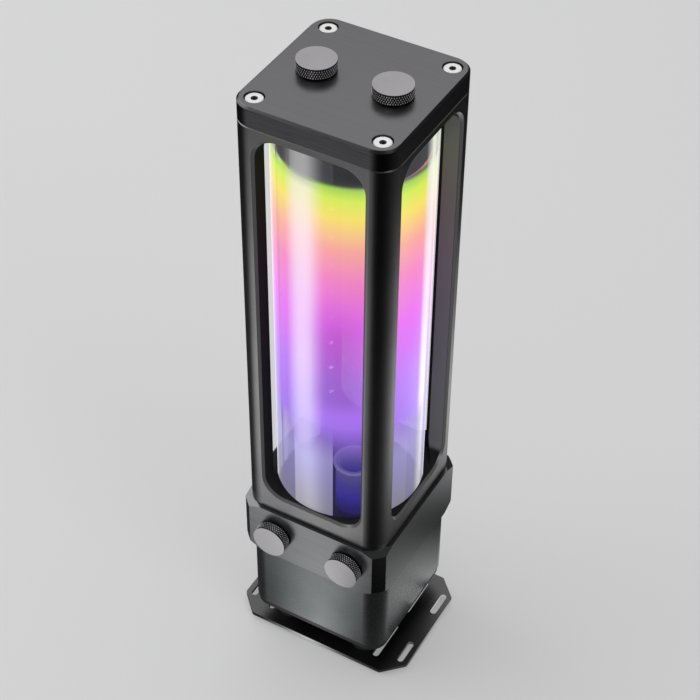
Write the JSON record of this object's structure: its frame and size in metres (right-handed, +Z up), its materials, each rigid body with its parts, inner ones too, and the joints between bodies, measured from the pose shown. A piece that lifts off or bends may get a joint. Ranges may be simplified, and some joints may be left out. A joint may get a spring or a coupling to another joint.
{
  "type": "coolant pump reservoir",
  "caption": "Square metal tower with tall windows round a lit clear reservoir tube, plugged ports on top and in front, a pump housing below and a slotted base plate.",
  "frame": {"origin": "middle of the footprint on the floor, under the rubber feet", "axes": "+Z up along the tube; -Y is the front with the two plugs; +X to the right seen from the front"},
  "size_m": [0.097, 0.085, 0.3374],
  "materials": {
    "black_plate": "satin",
    "rubber": "matte",
    "dark_steel": "satin",
    "black_plastic": "matte",
    "housing_grey": "satin",
    "board_green": "satin",
    "core_steel": "satin",
    "copper": "satin",
    "ceramic_shaft": "gloss",
    "magnet_iron": "satin",
    "impeller_plastic": "satin",
    "block_black": "satin",
    "frame_black": "satin",
    "clear_tube": "gloss",
    "strip_white": "matte",
    "lamp": "gloss",
    "bright_screw": "satin",
    "plug_black": "satin"
  },
  "bodies": {
    "stand": {"base_plate": "black_plate", "base_feet": "rubber", "dampers": "rubber", "damper_screws": "dark_steel", "damper_studs": "dark_steel", "bottom_cover": "black_plastic", "pump_housing": "housing_grey", "cable_grommet": "rubber", "driver_board": "board_green", "stator_core": "core_steel", "stator_coils": "copper", "rotor_can": "black_plastic", "pump_shaft": "ceramic_shaft", "block_seal": "rubber", "port_block": "block_black", "tie_bolts": "dark_steel", "reservoir_frame": "frame_black", "reservoir_tube": "clear_tube", "tube_foot_seal": "rubber", "standpipe": "clear_tube", "light_strip": "strip_white", "light_strip_lamps": "lamp", "top_cover": "frame_black", "tube_head_seal": "rubber", "cover_screws": "bright_screw"},
    "rotor": {"rotor_magnet": "magnet_iron", "impeller": "impeller_plastic"},
    "seal_top_left": {"plug_seal_top_left": "rubber"},
    "plug_top_left": {"plug_top_left": "plug_black"},
    "seal_top_right": {"plug_seal_top_right": "rubber"},
    "plug_top_right": {"plug_top_right": "plug_black"},
    "seal_front_left": {"plug_seal_front_left": "rubber"},
    "plug_front_left": {"plug_front_left": "plug_black"},
    "seal_front_right": {"plug_seal_front_right": "rubber"},
    "plug_front_right": {"plug_front_right": "plug_black"}
  },
  "joints": [
    {"name": "rotor_spin", "type": "hinge", "parent": "stand", "child": "rotor", "pos_m": [0, 0.00282, 0.06], "axis": [0, 0, 1], "continuous": true},
    {"name": "plug_top_left_lift", "type": "slide", "parent": "stand", "child": "seal_top_left", "axis": [0, 0, 1], "range_m": [0, 0.0067]},
    {"name": "plug_top_left_turn", "type": "hinge", "parent": "seal_top_left", "child": "plug_top_left", "pos_m": [-0.0182, 0.00282, 0.332], "axis": [0, 0, 1], "range_deg": [0, 1800]},
    {"name": "plug_top_right_lift", "type": "slide", "parent": "stand", "child": "seal_top_right", "axis": [0, 0, 1], "range_m": [0, 0.0067]},
    {"name": "plug_top_right_turn", "type": "hinge", "parent": "seal_top_right", "child": "plug_top_right", "pos_m": [0.0182, 0.00282, 0.332], "axis": [0, 0, 1], "range_deg": [0, 1800]},
    {"name": "plug_front_left_lift", "type": "slide", "parent": "stand", "child": "seal_front_left", "axis": [0, -1, 0], "range_m": [0, 0.0067]},
    {"name": "plug_front_left_turn", "type": "hinge", "parent": "seal_front_left", "child": "plug_front_left", "pos_m": [-0.0203, -0.03698, 0.0794], "axis": [0, -1, 0], "range_deg": [0, 1800]},
    {"name": "plug_front_right_lift", "type": "slide", "parent": "stand", "child": "seal_front_right", "axis": [0, -1, 0], "range_m": [0, 0.0067]},
    {"name": "plug_front_right_turn", "type": "hinge", "parent": "seal_front_right", "child": "plug_front_right", "pos_m": [0.0203, -0.03698, 0.0794], "axis": [0, -1, 0], "range_deg": [0, 1800]}
  ],
  "couplings": [
    {"joint": "plug_top_left_lift", "follows": "plug_top_left_turn", "m_per_rad": 0.00021276},
    {"joint": "plug_top_right_lift", "follows": "plug_top_right_turn", "m_per_rad": 0.00021276},
    {"joint": "plug_front_left_lift", "follows": "plug_front_left_turn", "m_per_rad": 0.00021276},
    {"joint": "plug_front_right_lift", "follows": "plug_front_right_turn", "m_per_rad": 0.00021276}
  ]
}
